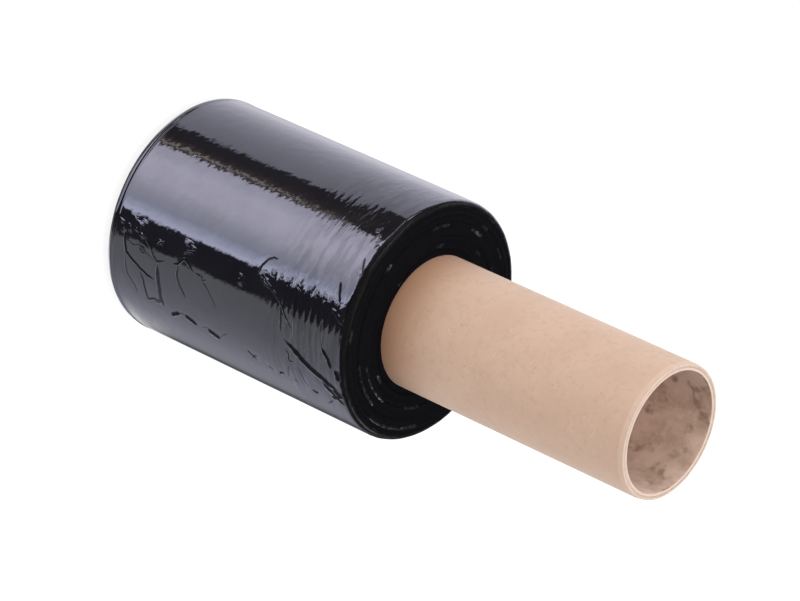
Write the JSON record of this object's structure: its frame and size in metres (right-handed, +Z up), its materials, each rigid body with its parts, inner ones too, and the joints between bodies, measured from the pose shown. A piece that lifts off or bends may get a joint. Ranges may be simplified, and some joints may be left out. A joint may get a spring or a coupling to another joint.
{
  "type": "stretch wrap roll",
  "caption": "Hand roll of black stretch film, wound on a longer kraft paper tube whose bare end is the handle.",
  "frame": {"origin": "middle of the tube's short end, which the roll stands on", "axes": "+Z up the axis of the tube, from the short end to the end of the bare handle; the part is round about Z"},
  "size_m": [0.077, 0.077, 0.196],
  "materials": {
    "kraft_core": "bare unbleached kraft board, matt, with fine fibres",
    "black_film": "glossy black stretch film, wound tight, with rings and small creases"
  },
  "bodies": {
    "root": {"core_tube": "kraft_core", "film_roll": "black_film"}
  },
  "joints": []
}
